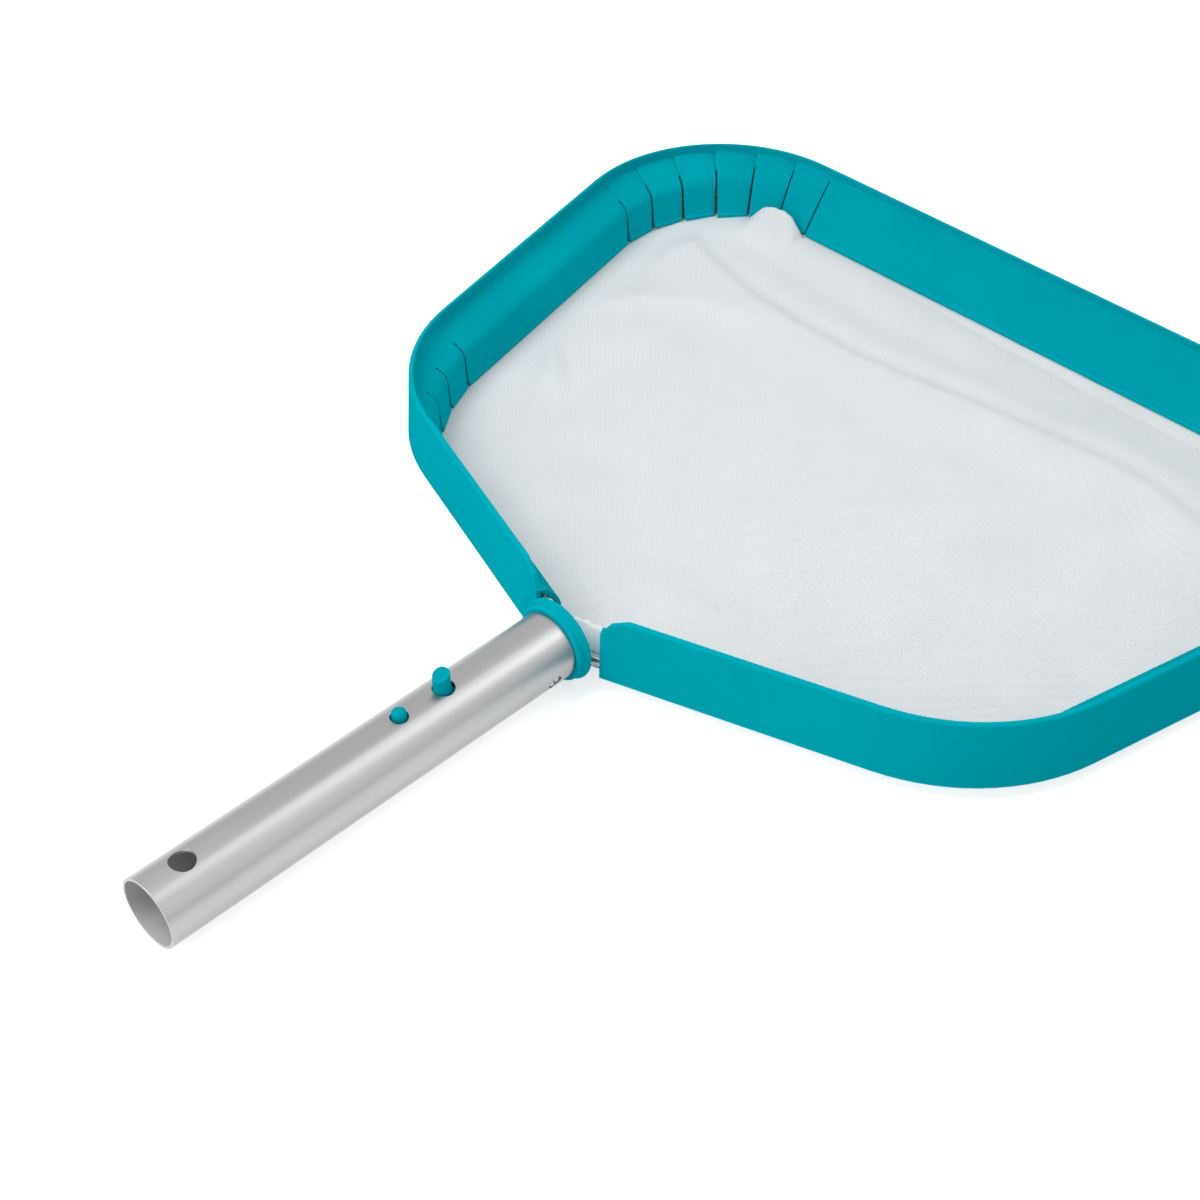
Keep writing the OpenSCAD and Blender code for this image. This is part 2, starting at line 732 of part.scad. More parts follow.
// Net: a closed sheet on spokes from the middle to its rim under the hem
net_c = [0, 180];
net_in = rod_in - 1;
net_top0 = rod_z - sleeve_r - hem_clear;
net_low = inner_z - hem_clear;
function net_ray(a) = [sin(a), -cos(a)];
function cross2(u, v) = u[0] * v[1] - u[1] * v[0];
rim_half = concat([[0, arm_y + net_in / cos(arm_slope)]],
  [for (s = [-60:12:0]) near_pt(s) - net_in * near_nm(s)],
  [for (s = [12:12:near_r * turn_n * PI / 180]) near_pt(s) - net_in * near_nm(s)],
  [for (s = [0:12:far_arc]) far_pt(s) - net_in * far_nm(s)], [[0, far_y - net_in]]);
rim_all = concat(rim_half, [for (i = [len(rim_half) - 2:-1:1]) flip(rim_half[i])]);
function hit(a, i) =
  let (p = rim_all[i] - net_c, q = rim_all[(i + 1) % len(rim_all)] - net_c, u = net_ray(a),
    e = q - p, den = cross2(u, e))
  abs(den) < 1e-6 ? 0 : let (t = cross2(p, e) / den, w = cross2(p, u) / den)
  (w >= -1e-6 && w <= 1 + 1e-6 && t > 0) ? t : 0;
function reach_at(a) = max([for (i = [0:len(rim_all) - 1]) hit(a, i)]);
// The outer rings slope down to the level of the inner wall's foot and pass under it
function net_r(k, full) = k == net_rings ? full : k == net_rings - 1 ? full - lip_out :
  k == net_rings - 2 ? full - lip_clear : (full - lip_clear - net_drop) * k / (net_rings - 3);
lip_out = arm_w - shelf_t - 0.8 - net_in;
lip_clear = far_foot_w - net_in + 1.5;
function fold(x, y) = net_fold * sin(1.5 * x + 0.9 * y) * cos(0.8 * x - 1.1 * y);
function net_pt(k, j, top) =
  let (a = 360 * j / net_steps, full = reach_at(a), r = net_r(k, full), p = net_c
    + r * net_ray(a), z = k == net_rings ? net_top0 : k >= net_rings - 2 ? net_low :
    net_low - net_sag + fold(p[0], p[1]))
  [p[0], p[1], z - (top ? 0 : net_t)];

module net() {
  m = net_steps;
  n = net_rings;
  layer = 1 + n * m;
  pts = [for (t = [true, false]) each concat([net_pt(0, 0, t)],
    [for (k = [1:n], j = [0:m - 1]) net_pt(k, j, t)])];
  top_faces = [for (k = [0:n - 1], j = [0:m - 1]) each
    let (b = 1 + k * m, c = b - m, j2 = (j + 1) % m)
    k == 0 ? [[0, b + j, b + j2]] : [[c + j, b + j, b + j2], [c + j, b + j2, c + j2]]];
  bottom_faces = [for (f = top_faces) [f[0] + layer, f[2] + layer, f[1] + layer]];
  rim0 = 1 + (n - 1) * m;
  rim_faces = [for (j = [0:m - 1]) each
    let (a = rim0 + j, b = rim0 + (j + 1) % m)
    [[a, a + layer, b + layer], [a, b + layer, b]]];
  color(white)
    place()
      polyhedron(pts, concat(top_faces, bottom_faces, rim_faces));
}

handle_tube();
neck();
latch_lever();
latch_pin();
latch_spring();
tube_screw();
frame_rod();
frame_channel();
net_hem();
net();
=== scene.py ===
"""Leaf skimmer net: materials, cloth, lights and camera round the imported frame."""
import math

import bpy
import numpy as np
from mathutils import Matrix, Vector, noise


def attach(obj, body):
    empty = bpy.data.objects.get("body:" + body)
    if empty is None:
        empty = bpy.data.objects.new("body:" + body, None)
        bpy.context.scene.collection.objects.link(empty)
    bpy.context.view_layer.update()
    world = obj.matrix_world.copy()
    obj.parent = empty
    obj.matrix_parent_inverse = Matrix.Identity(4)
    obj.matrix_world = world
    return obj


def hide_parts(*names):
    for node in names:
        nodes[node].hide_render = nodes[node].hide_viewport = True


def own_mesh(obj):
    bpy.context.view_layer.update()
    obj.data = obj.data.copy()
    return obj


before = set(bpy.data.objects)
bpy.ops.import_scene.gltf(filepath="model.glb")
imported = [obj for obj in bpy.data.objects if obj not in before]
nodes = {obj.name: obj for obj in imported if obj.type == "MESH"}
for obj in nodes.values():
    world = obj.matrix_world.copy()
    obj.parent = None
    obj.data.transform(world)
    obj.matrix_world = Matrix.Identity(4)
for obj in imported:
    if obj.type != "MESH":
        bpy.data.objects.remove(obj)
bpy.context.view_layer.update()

# ---------------------------------------------------------------- sizes, in millimetres
# Drawing position: Y = 0 at the collar face, Z = 0 at the underside of the lip
SHIFT = np.array([0.0, -71.6, 6.7])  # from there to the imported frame
ARM_SLOPE = math.radians(18.6)  # arms against X
ARM_Y = 2.5  # Y at which the arms' outer faces would meet
SIDE_LEAN = math.radians(13.4)  # sides against Y
SIDE_X = 164.3  # X at which a side's outer face would cross Y = 0
FAR_Y = 343.7  # far edge's outer face
NEAR_R, FAR_R = 91.0, 79.0  # corners near the handle and far from it
V_R = 36.0  # hem behind the collar
ARM_W, SIDE_W, FAR_FOOT_W = 11.8, 19.0, 22.8  # from the outer face to the foot of the inner wall
FOOT_Z, FAR_RISE = -3.0, 4.6  # that foot, and how much higher it lies along the far edge
FOOT_LIP = 0.8  # how far the bead stands out beyond it
ROD_IN, ROD_Z = 5.47, 4.0  # rod's axis, in from the outer face and up
RIM_STEP, FINE_STEP = 2.0, 1.5  # between stations round the rim: to build on, and to measure from
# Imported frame, in metres
TUBE_AXIS_Z, INSIDE_R = 0.0187, 0.0142  # closer than this to the axis lies the bore

ARM_DIR = np.array([math.cos(ARM_SLOPE), math.sin(ARM_SLOPE)])
ARM_N = np.array([math.sin(ARM_SLOPE), -math.cos(ARM_SLOPE)])
SIDE_DIR = np.array([math.sin(SIDE_LEAN), math.cos(SIDE_LEAN)])
SIDE_N = np.array([math.cos(SIDE_LEAN), -math.sin(SIDE_LEAN)])


def smooth(t):
    """Eased step from 0 to 1."""
    t = np.clip(t, 0.0, 1.0)
    return t * t * (3 - 2 * t)


# ---------------------------------------------------------------- outline of the lip
def half_outline(step):
    """Points, outward normals and foot widths of the right half, from behind the collar to the far middle."""
    turn_n = math.pi / 2 - SIDE_LEAN - ARM_SLOPE
    turn_f = math.pi / 2 + SIDE_LEAN
    nx = (SIDE_X + ARM_Y * math.tan(SIDE_LEAN)) / (1 - math.tan(ARM_SLOPE) * math.tan(SIDE_LEAN))
    corner_n = np.array([nx, ARM_Y + nx * math.tan(ARM_SLOPE)])
    corner_f = np.array([SIDE_X + FAR_Y * math.tan(SIDE_LEAN), FAR_Y])
    n1 = corner_n - NEAR_R * math.tan(turn_n / 2) * ARM_DIR
    n2 = corner_n + NEAR_R * math.tan(turn_n / 2) * SIDE_DIR
    f1 = corner_f - FAR_R * math.tan(turn_f / 2) * SIDE_DIR
    f2 = corner_f - np.array([FAR_R * math.tan(turn_f / 2), 0])
    v1 = np.array([0, ARM_Y]) + V_R * math.tan(ARM_SLOPE) * ARM_DIR
    v_c, near_c, far_c = v1 - V_R * ARM_N, n1 - NEAR_R * ARM_N, f2 - np.array([0, FAR_R])
    out = []

    def arc(c, r, a0, turn, w0, w1):
        count = max(3, round(r * turn / step))
        for i in range(count):
            a = a0 + turn * i / count
            n = np.array([math.cos(a), math.sin(a)])
            out.append((c + r * n, n, w0 + (w1 - w0) * float(smooth(i / count))))

    def line(p, q, n, w0, w1):
        count = max(3, round(float(np.hypot(*(q - p))) / step))
        for i in range(count):
            out.append((p + (q - p) * i / count, n, w0 + (w1 - w0) * i / count))

    arc(v_c, V_R, -math.pi / 2, ARM_SLOPE, ARM_W, ARM_W)
    line(v1, n1, ARM_N, ARM_W, ARM_W)
    arc(near_c, NEAR_R, ARM_SLOPE - math.pi / 2, turn_n, ARM_W, SIDE_W)
    line(n2, f1, SIDE_N, SIDE_W, SIDE_W)
    arc(far_c, FAR_R, -SIDE_LEAN, turn_f, SIDE_W, FAR_FOOT_W)
    line(f2, np.array([0, FAR_Y]), np.array([0, 1.0]), FAR_FOOT_W, FAR_FOOT_W)
    out.append((np.array([0, FAR_Y]), np.array([0, 1.0]), FAR_FOOT_W))
    return out


def full_outline(step):
    """The same all round, as arrays: points, normals, foot widths. It starts behind the collar."""
    half = half_outline(step)
    flip = np.array([-1.0, 1.0])
    whole = half + [(p * flip, n * flip, w) for p, n, w in half[-2:0:-1]]
    return (np.array([s[0] for s in whole]), np.array([s[1] for s in whole]),
            np.array([s[2] for s in whole]))


def to_metres(points):
    """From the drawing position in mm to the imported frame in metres."""
    return (np.asarray(points, float) + SHIFT) * 0.001


def new_mesh(name, points, faces, mat):
    """Smooth mesh object from points in the drawing position."""
    mesh = bpy.data.meshes.new(name)
    mesh.from_pydata([tuple(p) for p in to_metres(points)], [], faces)
    mesh.validate()
    mesh.polygons.foreach_set("use_smooth", [True] * len(mesh.polygons))
    mesh.materials.append(mat)
    obj = bpy.data.objects.new(name, mesh)
    bpy.context.scene.collection.objects.link(obj)
    return obj


# ---------------------------------------------------------------- materials
def material(name):
    """New material, its node tree and its shader."""
    mat = bpy.data.materials.new(name)
    mat.use_nodes = True
    tree = mat.node_tree
    return mat, tree, tree.nodes["Principled BSDF"]


def feed(tree, socket, value):
    """Gives a socket a value or another node's output."""
    if isinstance(value, bpy.types.NodeSocket):
        tree.links.new(value, socket)
    else:
        socket.default_value = value


def linked(tree, kind, **inputs):
    """New node whose inputs take the given values or outputs."""
    node = tree.nodes.new(kind)
    for key, value in inputs.items():
        feed(tree, node.inputs[key.replace("_", " ")], value)
    return node


def maths(tree, operation, a, b):
    """Value worked out from two others."""
    node = tree.nodes.new("ShaderNodeMath")
    node.operation = operation
    feed(tree, node.inputs[0], a)
    feed(tree, node.inputs[1], b)
    return node.outputs["Value"]


def vector_maths(tree, operation, *vectors):
    """Value worked out from one or two vectors."""
    node = tree.nodes.new("ShaderNodeVectorMath")
    node.operation = operation
    for socket, vector in zip(node.inputs, vectors):
        feed(tree, socket, vector)
    return node.outputs["Value"]


def rescaled(tree, value, **ends):
    """Value moved from one range to another, both 0 to 1 unless ends says otherwise."""
    return linked(tree, "ShaderNodeMapRange", Value=value, **ends).outputs["Result"]


def mixed(tree, factor, a, b, blend="MIX"):
    """Colour a with colour b laid over it by factor."""
    node = tree.nodes.new("ShaderNodeMix")
    node.data_type, node.blend_type = "RGBA", blend
    for key, value in (("Factor", factor), ("A", a), ("B", b)):
        feed(tree, node.inputs[key], value)
    return node.outputs["Result"]


def grey(level):
    return (level, level, level, 1)


def coords(tree, scale):
    """The object's own coordinates, stretched by scale."""
    place = tree.nodes.new("ShaderNodeTexCoord").outputs["Object"]
    return linked(tree, "ShaderNodeMapping", Vector=place, Scale=scale).outputs["Vector"]


def tones(tree, factor, low, high, a=0.3, b=0.7):
    """Colour that goes from low to high as factor goes from a to b."""
    ramp = tree.nodes.new("ShaderNodeValToRGB")
    ramp.color_ramp.elements[0].position, ramp.color_ramp.elements[1].position = a, b
    ramp.color_ramp.elements[0].color, ramp.color_ramp.elements[1].color = low, high
    feed(tree, ramp.inputs["Fac"], factor)
    return ramp.outputs["Color"]


def fine_noise(tree, scale, detail=3.0, stretch=(1, 1, 1)):
    """Noise that is fixed to the object."""
    node = linked(tree, "ShaderNodeTexNoise", Vector=coords(tree, stretch), Scale=scale, Detail=detail)
    return node.outputs["Fac"]


def bump(tree, bsdf, height, distance, strength, edge=0.0):
    """Fine relief, over edges rounded by the radius edge."""
    node = linked(tree, "ShaderNodeBump", Height=height, Distance=distance, Strength=strength)
    if edge:
        feed(tree, node.inputs["Normal"], linked(tree, "ShaderNodeBevel", Radius=edge).outputs["Normal"])
    feed(tree, bsdf.inputs["Normal"], node.outputs["Normal"])


def vary_roughness(tree, bsdf, factor, low_high):
    feed(tree, bsdf.inputs["Roughness"], tones(tree, factor, grey(low_high[0]), grey(low_high[1])))


def moulded(name, dark, light, rough):
    """Matt moulded plastic with faint clouds of tone and a painted highlight: paler colour along outer edges.
    """
    mat, tree, bsdf = material(name)
    body = tones(tree, fine_noise(tree, 14.0), dark, light)
    # painted highlight: an outer edge is where the rounded normal leaves the face's own, away from hollows,
    # and there the colour turns paler
    rounded = linked(tree, "ShaderNodeBevel", Radius=0.0014).outputs["Normal"]
    own = tree.nodes.new("ShaderNodeNewGeometry").outputs["Normal"]
    edge = rescaled(tree, vector_maths(tree, "DOT_PRODUCT", rounded, own), From_Min=1.0, From_Max=0.86)
    hollow = linked(tree, "ShaderNodeAmbientOcclusion", Distance=0.003).outputs["AO"]
    open_air = rescaled(tree, hollow, From_Min=0.75, From_Max=0.95)
    # colour of the painted highlight: the light teal made brighter
    painted_highlight = tuple(part * 1.3 for part in light[:3]) + (1,)
    feed(tree, bsdf.inputs["Base Color"], mixed(tree, maths(tree, "MULTIPLY", edge, open_air), body, painted_highlight))
    speckle = fine_noise(tree, 900.0, 2.0)
    vary_roughness(tree, bsdf, speckle, rough)
    bump(tree, bsdf, speckle, 0.00003, 0.6, edge=0.0005)
    bsdf.inputs["Specular IOR Level"].default_value = 0.0
    return mat


def metal(name, low, high, rough, scale, stretch=(1, 1, 1)):
    """Drawn metal with fine streaks of tone and roughness."""
    mat, tree, bsdf = material(name)
    streaks = fine_noise(tree, scale, 4.0, stretch)
    feed(tree, bsdf.inputs["Base Color"], tones(tree, streaks, low, high))
    vary_roughness(tree, bsdf, streaks, rough)
    bsdf.inputs["Metallic"].default_value = 1.0
    bump(tree, bsdf, streaks, 0.00002, 0.5, edge=0.0003)
    return mat


def dull_bore(mat, axis_z, radius, colour):
    """Plain grey, not metallic, on the inside of a tube that runs along Y: what lies closer to its axis than
    radius.
    """
    tree = mat.node_tree
    bsdf = tree.nodes["Principled BSDF"]
    place = tree.nodes.new("ShaderNodeTexCoord").outputs["Object"]
    across = linked(tree, "ShaderNodeMapping", Vector=place, Location=(0, 0, -axis_z), Scale=(1, 0, 1))
    from_axis = vector_maths(tree, "LENGTH", across.outputs["Vector"])
    inside = maths(tree, "LESS_THAN", from_axis, radius)
    outer = bsdf.inputs["Base Color"].links[0].from_socket
    feed(tree, bsdf.inputs["Base Color"], mixed(tree, inside, outer, colour))
    feed(tree, bsdf.inputs["Metallic"], rescaled(tree, inside, To_Min=1.0, To_Max=0.0))


teal = moulded("teal_moulded", (0.0, 0.34, 0.415, 1), (0.0, 0.37, 0.445, 1), rough=(0.4, 0.5))
teal_button = moulded("teal_button", (0.0, 0.3, 0.37, 1), (0.0, 0.33, 0.4, 1), rough=(0.36, 0.46))
tube_metal = metal("tube_drawn", (0.36, 0.362, 0.365, 1), (0.41, 0.412, 0.415, 1), rough=(0.28, 0.38),
                   scale=90.0, stretch=(1, 0.04, 1))
dull_bore(tube_metal, TUBE_AXIS_Z, INSIDE_R, grey(0.46))
rod_metal = metal("rod_drawn", (0.42, 0.425, 0.43, 1), (0.52, 0.525, 0.53, 1), rough=(0.3, 0.42), scale=120.0)
screw_metal = metal("screw_steel", (0.5, 0.5, 0.51, 1), (0.6, 0.6, 0.61, 1), rough=(0.25, 0.35), scale=700.0)
spring_metal = metal("spring_steel", (0.34, 0.34, 0.35, 1), (0.42, 0.42, 0.43, 1), rough=(0.28, 0.36),
                     scale=400.0)


def mesh_cloth(name, thread, gap, pitch, see_through):
    """Woven mesh: two sets of threads at the given pitch, in millimetres, with small openings between."""
    mat, tree, bsdf = material(name)
    flat = tree.nodes.new("ShaderNodeUVMap")
    flat.uv_map = "weave"
    waves = []
    for direction in ("X", "Y"):
        wave = linked(tree, "ShaderNodeTexWave", Vector=flat.outputs["UV"], Scale=math.pi / 10 * 1000 / pitch,
                      Distortion=0.0)
        wave.wave_type = "BANDS"
        wave.bands_direction = direction
        waves.append(wave.outputs["Fac"])
    weave = maths(tree, "MAXIMUM", *waves)
    threads = tones(tree, weave, gap, thread, 0.25, 0.85)
    clouds = tones(tree, fine_noise(tree, 30.0), (0.95, 0.955, 0.96, 1), grey(1))
    feed(tree, bsdf.inputs["Base Color"], mixed(tree, 1.0, threads, clouds, "MULTIPLY"))
    feed(tree, bsdf.inputs["Alpha"], tones(tree, weave, grey(1 - see_through), grey(1), 0.2, 0.65))
    bsdf.inputs["Roughness"].default_value = 0.75
    bsdf.inputs["Sheen Weight"].default_value = 0.1
    bump(tree, bsdf, weave, 0.00008, 0.4)
    return mat


def hem_cloth(name, dark, light):
    """White woven tape."""
    mat, tree, bsdf = material(name)
    wave = linked(tree, "ShaderNodeTexWave", Vector=coords(tree, (1, 1, 1)), Scale=260.0,
                  Distortion=1.5, Detail=2.0)
    wave.bands_direction = "DIAGONAL"
    feed(tree, bsdf.inputs["Base Color"], tones(tree, fine_noise(tree, 55.0, 4.0), dark, light))
    bsdf.inputs["Roughness"].default_value = 0.85
    bsdf.inputs["Sheen Weight"].default_value = 0.2
    bump(tree, bsdf, wave.outputs["Fac"], 0.0001, 0.6)
    return mat


mesh_white = mesh_cloth("mesh_white", thread=(0.85, 0.865, 0.88, 1), gap=(0.69, 0.71, 0.725, 1),
                        pitch=0.92, see_through=0.5)
hem_white = hem_cloth("hem_white", (0.88, 0.885, 0.9, 1), (0.95, 0.95, 0.955, 1))


def dress(node, mat):
    """Puts one material on every slot of a CAD node."""
    obj = nodes[node]
    if obj.material_slots:
        for slot in obj.material_slots:
            slot.material = mat
    else:
        obj.data.materials.append(mat)


dress("handle_tube", tube_metal)
dress("neck", teal)
dress("latch_lever", teal_button)
dress("latch_pin", spring_metal)
dress("latch_spring", spring_metal)
dress("tube_screw", screw_metal)
dress("frame_rod", rod_metal)
dress("frame_channel", teal)
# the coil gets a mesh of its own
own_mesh(nodes["latch_spring"])


# ---------------------------------------------------------------- net
NET_C = np.array([0.0, 180.0])
NET_IN = ROD_IN - 1.0  # where it begins, in from the lip's outer face
NET_THICK = 0.25
NET_RIM_Z, NET_LOW, NET_LOWEST = 0.55, -4.95, -6.2  # its rim, its floor, and the lowest a fold reaches
NET_GAP = 0.55  # below the foot of the lip's inner wall
# Runs from the rim to below that foot and from the foot to the floor, and how much longer along the far edge
UNDER_RUN, UNDER_RUN_FAR = 4.4, 8
DROP_RUN, DROP_RUN_FAR = 16, 14
# Step in front of the far foot, which grows from STEP_X on
STEP_RUN, STEP_X, STEP_GROWS = 3.2, -115, 190
FOLDS_FROM, FOLDS_GROW = 1, 24  # in from the bead
# Lines along which the slack mesh folds
MAIN_FOLD = [(-208, 306), (-195, 293), (-173, 280), (-134, 268), (-94, 264), (-55, 263), (-28, 266),
             (1, 271), (33, 275), (60, 278), (86, 281), (108, 279), (150, 268), (200, 252)]
LEFT_FOLD = [(-181, 182), (-174, 172), (-166, 160), (-152, 150), (-141, 138), (-134, 122)]
LEFT_ARC = [(-186, 180), (-182, 196), (-175, 212), (-165, 226), (-148, 238), (-120, 247), (-85, 250)]
LOW_ARC = [(-150, 120), (-120, 98), (-84, 82), (-44, 73), (-15, 69), (19, 70), (49, 74), (90, 86)]
NEAR_ARC = [(-60, 58), (-30, 54), (0, 55), (42, 58), (90, 68)]
# Line, height, widths of its right and left slopes, and the share of its length over which each end fades
FOLDS = (
    ([(a, b - 7) for a, b in MAIN_FOLD], 4.8, 22, 8, 0.15),
    ([(a, b + 11) for a, b in MAIN_FOLD], 2.0, 9, 12, 0.15),
    (LEFT_FOLD, 3.4, 9, 5, 0.3),
    (LEFT_ARC, 1.6, 6, 9, 0.3),
    (LOW_ARC, 1.6, 12, 16, 0.3),
    (NEAR_ARC, 0.7, 6, 9, 0.3),
)
WAVES = ((90, 3.1, 0.6), (30, 7.7, 0.12))  # size, seed and height of the soft waves
# Puff in the far left corner: its middle, half width and height, the X where its ends rise and fall, with the
# runs of both, and the Y beyond which it lies
PUFF_X, PUFF_HALF, PUFF_HIGH = -155.5, 14.5, 12.0
PUFF_LEFT, PUFF_LEFT_RUN, PUFF_RIGHT, PUFF_RIGHT_RUN = -186, 24, -141, 2.4
PUFF_Y = 250
# Rings from the rim inward: end and spacing of the two outer bands, and the number that shares out the rest
OUTER_RINGS, INNER_RINGS = ((36, 1.2), (62, 2.4)), 58


def beside(x, y, line):
    """Signed distance in mm from a line of points, positive on its left, and how far along it is, 0 to 1."""
    a = np.array(line[:-1], float)
    d = np.array(line[1:], float) - a
    p = np.stack([x, y], -1)[..., None, :] - a
    t = np.clip((p * d).sum(-1) / (d * d).sum(-1), 0, 1)
    off = p - t[..., None] * d
    size = np.hypot(off[..., 0], off[..., 1])
    near = size.argmin(-1)[..., None]
    side = np.sign(d[:, 0] * p[..., 1] - d[:, 1] * p[..., 0])
    pick = [np.take_along_axis(v, near, -1)[..., 0] for v in (size, side, t)]
    return pick[0] * pick[1], (near[..., 0] + pick[2]) / len(a)


def swell(x, y, line, height, before, after, fade):
    """Ridge along a line: before and after are the widths in mm of its right and left slopes."""
    off, along = beside(x, y, line)
    width = np.where(off < 0, before, after)
    ends = smooth(along / fade) * smooth((1 - along) / fade)
    return height * np.exp(-(off / width) ** 2) * ends


def grain(x, y, size, seed):
    """Smooth noise of the given size in mm."""
    flat = [noise.noise(Vector((a / size, b / size, seed))) for a, b in zip(x.ravel(), y.ravel())]
    return np.array(flat).reshape(x.shape)


def net_height(x, y, inset, width):
    """Height of the net at inset mm from the lip's outer face, where the foot is width mm in."""
    far = np.clip((width - SIDE_W) / (FAR_FOOT_W - SIDE_W), 0, 1)
    rest = FOOT_Z + FAR_RISE * far - NET_GAP
    under = smooth((inset - NET_IN) / (UNDER_RUN + UNDER_RUN_FAR * far))
    z = NET_RIM_Z + (rest - NET_RIM_Z) * under
    inner = inset - width - FOOT_LIP
    step = FAR_RISE * far * smooth((x - STEP_X) / STEP_GROWS)
    z = z - step * np.clip(inner / STEP_RUN, 0, 1)
    z = z - (rest - step - NET_LOW) * smooth(inner / (DROP_RUN + DROP_RUN_FAR * far))
    inside = smooth((inner - FOLDS_FROM) / FOLDS_GROW)
    for fold in FOLDS:
        z = z + inside * swell(x, y, *fold)
    z = z + inside * sum(height * grain(x, y, size, seed) for size, seed, height in WAVES)
    return np.maximum(z, NET_LOWEST)


def net_puff(x, y, inner):
    """Slack mesh that stands up in front of the foot near the far left corner, inner mm in from the bead."""
    across = (x - PUFF_X) / PUFF_HALF
    ends = smooth((x - PUFF_LEFT) / PUFF_LEFT_RUN) * np.clip(1 - (x - PUFF_RIGHT) / PUFF_RIGHT_RUN, 0, 1)
    rise = np.exp(-np.abs(across) ** 3.4) * ends
    back = smooth((inner - 0.5) / 2.2) * np.exp(-np.maximum(0.0, inner - 2.6) ** 2 / 70)
    return np.where(y > PUFF_Y, PUFF_HIGH * rise * back, 0.0)


def make_net():
    """The mesh panel and its area: rings from the rod inward that close in the middle."""
    rim_p, rim_n, _ = full_outline(RIM_STEP)
    start = rim_p - NET_IN * rim_n
    length = np.hypot(*(NET_C - start).T)
    (fine_end, fine), (coarse_end, coarse) = OUTER_RINGS
    spans = np.concatenate([np.arange(0, fine_end, fine), np.arange(fine_end, coarse_end, coarse)])
    rings = [start + (NET_C - start) * (span / length)[:, None] for span in spans]
    rest = rings[-1]
    rings += [rest + (NET_C - rest) * (k / INNER_RINGS) for k in range(1, INNER_RINGS)]
    plan = np.array(rings)
    dense_p, _, dense_w = full_outline(FINE_STEP)
    inset, foot = np.empty(plan.shape[:2]), np.empty(plan.shape[:2])
    for k, ring in enumerate(plan):
        away = ((ring[:, None, :] - dense_p[None]) ** 2).sum(2)
        near = away.argmin(1)
        inset[k] = np.sqrt(away[np.arange(len(ring)), near])
        foot[k] = dense_w[near]
    x, y = plan[..., 0], plan[..., 1]
    z = net_height(x, y, inset, foot) + net_puff(x, y, inset - foot - FOOT_LIP)
    m = plan.shape[1]
    middle = (NET_C[0], NET_C[1], float(z[-1].mean()))
    grid = np.dstack([x, y, z])
    points = [tuple(p) for p in grid.reshape(-1, 3)] + [middle]
    faces = [(k * m + j, k * m + (j + 1) % m, (k + 1) * m + (j + 1) % m, (k + 1) * m + j)
             for k in range(len(plan) - 1) for j in range(m)]
    top = (len(plan) - 1) * m
    faces += [(top + j, top + (j + 1) % m, len(points) - 1) for j in range(m)]
    net = new_mesh("net_mesh", points, faces, mesh_white)
    # the cloth's own plane, so that the weave keeps its pitch on folds
    out = np.concatenate([np.array(middle)[None, None].repeat(m, 1), grid[::-1]])
    run = np.cumsum(np.linalg.norm(np.diff(out, axis=0), axis=2), axis=0)[::-1]
    toward = (plan - NET_C) / np.linalg.norm(plan - NET_C, axis=2)[..., None]
    cloth = np.concatenate([(toward * run[..., None]).reshape(-1, 2), [[0, 0]]]) * 0.001
    weave = net.data.uv_layers.new(name="weave")
    corners = np.array([loop.vertex_index for loop in net.data.loops])
    weave.data.foreach_set("uv", cloth[corners].ravel())
    flat = sum(poly.area for poly in net.data.polygons)
    thick = net.modifiers.new("thickness", "SOLIDIFY")
    thick.thickness = NET_THICK * 0.001
    thick.offset = 0
    return net, flat


# ---------------------------------------------------------------- hem
SLEEVE_R, HEM_TOP = 2.75, 18.0
SLEEVE_TURNS = [math.radians(turn) for turn in range(0, 166, 15)]
BAND_UP, BAND_HALF = 3.9, 0.62  # where the band begins above the rod's axis, and half its thickness
BAND_ROWS = (0.0, 0.15, 0.35, 0.6, 0.85, 1.0)
BARE_X, BARE_Y = 19.0, 60  # behind the collar, where the hem is bare of the rod


def make_hem():
    """Doubled hem: a sleeve round the rod with an upright band, gathered behind the collar."""
    rim_p, rim_n, _ = full_outline(RIM_STEP)
    points = []
    for i, (place, out) in enumerate(zip(rim_p, rim_n)):
        run = i * RIM_STEP
        bare = math.exp(-(place[0] / BARE_X) ** 6) if place[1] < BARE_Y else 0.0
        ruffle = noise.noise(Vector((run / 4.5, 1.7, 0)))
        slow = noise.noise(Vector((run / 23.0, 5.3, 0)))
        top = HEM_TOP + 0.5 * slow + bare * (2.2 * ruffle - 1.5)
        lean = 0.25 * slow + bare * (2.0 + 5.5 * smooth((place[0] + 3) / 9) + 1.6 * ruffle)
        half = BAND_HALF + 0.4 * bare * abs(ruffle)
        if bare < 0.5:
            size, middle = SLEEVE_R, ROD_Z
        else:
            size, middle = half, ROD_Z + 3.4 + 0.8 * ruffle
        ring = [(size * math.sin(turn), middle - size * math.cos(turn)) for turn in SLEEVE_TURNS]
        band = []
        for row in BAND_ROWS:
            z = ROD_Z + BAND_UP + (top - ROD_Z - BAND_UP) * row
            wave = lean * row + 0.15 * math.sin(z * 1.3 + run / 3.0)
            band.append((half * (1 - 0.25 * row), wave, z))
        ring += [(wave + thick, z) for thick, wave, z in band]
        ring += [(wave - thick, z) for thick, wave, z in reversed(band)]
        ring += [(-across, z) for across, z in reversed(ring[1:len(SLEEVE_TURNS)])]
        for across, z in ring:
            spot = place - (ROD_IN + across) * out
            points.append((spot[0], spot[1], z))
    size, count = len(ring), len(rim_p)
    faces = [(i * size + k, (i + 1) % count * size + k, (i + 1) % count * size + (k + 1) % size,
              i * size + (k + 1) % size) for i in range(count) for k in range(size)]
    return new_mesh("net_hem_cloth", points, faces, hem_white)


hem = make_hem()
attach(hem, "skimmer")
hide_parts("net_hem")

net, net_area = make_net()
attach(net, "skimmer")
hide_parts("net")


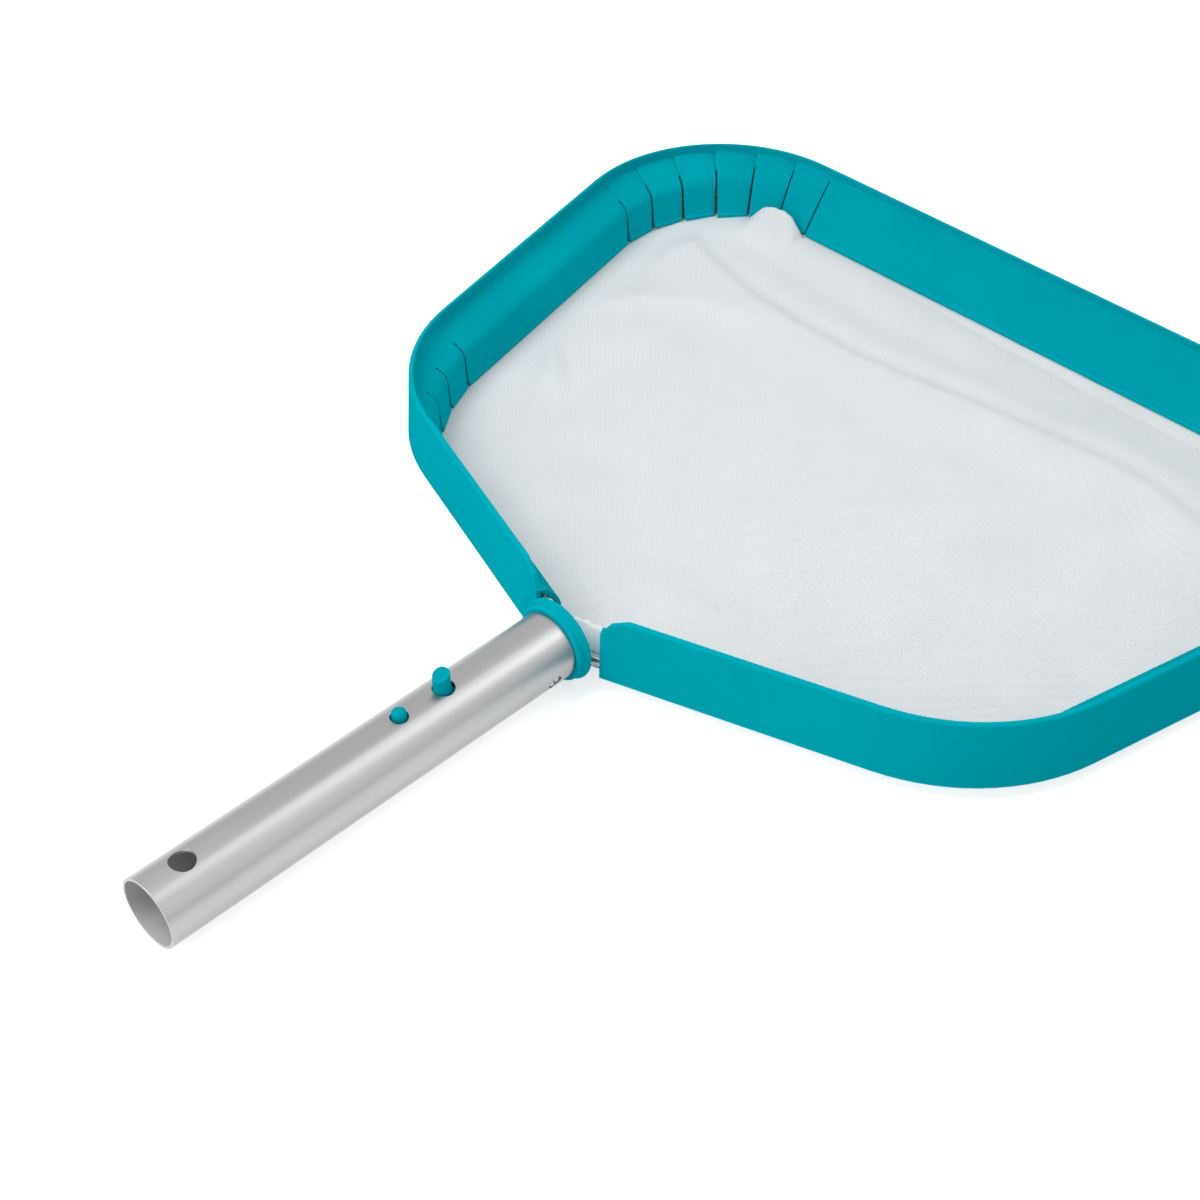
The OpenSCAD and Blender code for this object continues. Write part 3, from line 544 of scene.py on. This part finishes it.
# ---------------------------------------------------------------- floor, world and lamps, in metres and watts
FLOOR_HALF, FLOOR_Z = 6, -0.0004
WORLD_LEVEL = 0.38
# name, place, target, size, power
LAMPS = (
    ("back", (0.38, 1.3, 1.1), (0, 0.05, 0), (1.0, 0.8), 5.5),
    ("overhead", (0.74, 0.82, 1.746), (0, 0.05, 0), (0.66, 1.6), 5.0),
    ("right", (1.1, 0.1, 0.7), (0, 0.05, 0), (0.8, 0.8), 0.8),
    ("front_left", (-0.42, -0.6, 1.2), (-0.02, 0.03, 0), (0.65, 0.65), 9.6),
    ("front", (0, -0.75, 0.4), (0, 0, 0), (0.5, 0.4), 1.45),
)


def joined(tree, kind, first, second):
    """Two shaders put together by a node of the given kind."""
    node = tree.nodes.new(kind)
    feed(tree, node.inputs[-2], first)
    feed(tree, node.inputs[-1], second)
    return node


def make_floor():
    """Pale floor that glows for the camera and for reflections, and still takes the shadow."""
    corners = [(FLOOR_HALF * i, FLOOR_HALF * j, FLOOR_Z) for i, j in ((-1, -1), (1, -1), (1, 1), (-1, 1))]
    mesh = bpy.data.meshes.new("floor")
    mesh.from_pydata(corners, [], [(0, 1, 2, 3)])
    obj = bpy.data.objects.new("floor", mesh)
    bpy.context.scene.collection.objects.link(obj)
    mat = bpy.data.materials.new("floor_white")
    mat.use_nodes = True
    tree = mat.node_tree
    tree.nodes.clear()
    clouds = linked(tree, "ShaderNodeTexNoise", Vector=coords(tree, (1, 1, 1)), Scale=3.0).outputs["Fac"]
    shade = linked(tree, "ShaderNodeBsdfDiffuse", Color=tones(tree, clouds, grey(0.8), grey(0.83)))
    bounce = linked(tree, "ShaderNodeEmission", Color=grey(1), Strength=0.1)
    glow = linked(tree, "ShaderNodeEmission", Color=grey(1), Strength=0.5)
    always = joined(tree, "ShaderNodeAddShader", shade.outputs[0], bounce.outputs[0])
    lit = joined(tree, "ShaderNodeAddShader", always.outputs[0], glow.outputs[0])
    path = tree.nodes.new("ShaderNodeLightPath")
    pick = joined(tree, "ShaderNodeMixShader", always.outputs[0], lit.outputs[0])
    feed(tree, pick.inputs["Fac"], maths(tree, "MAXIMUM", path.outputs["Is Camera Ray"],
                                         path.outputs["Is Glossy Ray"]))
    linked(tree, "ShaderNodeOutputMaterial", Surface=pick.outputs[0])
    mesh.materials.append(mat)


def make_world(level):
    """White to the camera and in metal and glass; it lights the object at the given level."""
    world = bpy.data.worlds.new("studio")
    bpy.context.scene.world = world
    world.use_nodes = True
    tree = world.node_tree
    back = tree.nodes["Background"]
    back.inputs["Color"].default_value = grey(1)
    path = tree.nodes.new("ShaderNodeLightPath")
    seen = maths(tree, "MAXIMUM", path.outputs["Is Camera Ray"], path.outputs["Is Transmission Ray"])
    seen = maths(tree, "MAXIMUM", seen, path.outputs["Is Glossy Ray"])
    feed(tree, back.inputs["Strength"], rescaled(tree, seen, To_Min=level, To_Max=1.0))


def area_lamp(name, place, target, size, power):
    """Rectangular lamp at place that shines at target."""
    lamp = bpy.data.lights.new(name, "AREA")
    lamp.shape = "RECTANGLE"
    lamp.size, lamp.size_y = size
    lamp.energy = power
    obj = bpy.data.objects.new(name, lamp)
    bpy.context.scene.collection.objects.link(obj)
    obj.location = place
    obj.rotation_mode = "QUATERNION"
    obj.rotation_quaternion = (Vector(target) - Vector(place)).to_track_quat("-Z", "Y")


make_floor()
make_world(WORLD_LEVEL)
for lamp in LAMPS:
    area_lamp(*lamp)


# ---------------------------------------------------------------- camera, at the photograph's angle
ELEVATION, AZIMUTH = math.radians(41.7492), math.radians(44.9678)
CAMERA_PLACE = (0.46739, -0.51071, 0.61493)
FOCAL_PX, IMAGE_PX = 2146.18, 1200  # focal length and width of the picture, in pixels
SENSOR = 36.0  # mm


def make_camera():
    right = Vector((math.cos(AZIMUTH), math.sin(AZIMUTH), 0))
    look = Vector((-math.sin(AZIMUTH) * math.cos(ELEVATION), math.cos(AZIMUTH) * math.cos(ELEVATION),
                   -math.sin(ELEVATION)))
    up = right.cross(look)
    data = bpy.data.cameras.new("camera")
    data.sensor_width = SENSOR
    data.lens = FOCAL_PX / IMAGE_PX * SENSOR
    data.clip_start, data.clip_end = 0.01, 60
    obj = bpy.data.objects.new("camera", data)
    bpy.context.scene.collection.objects.link(obj)
    turn = Matrix((right, up, -look)).transposed()
    obj.matrix_world = Matrix.Translation(CAMERA_PLACE) @ turn.to_4x4()
    bpy.context.scene.camera = obj


make_camera()
bpy.context.scene.view_settings.view_transform = "Standard"
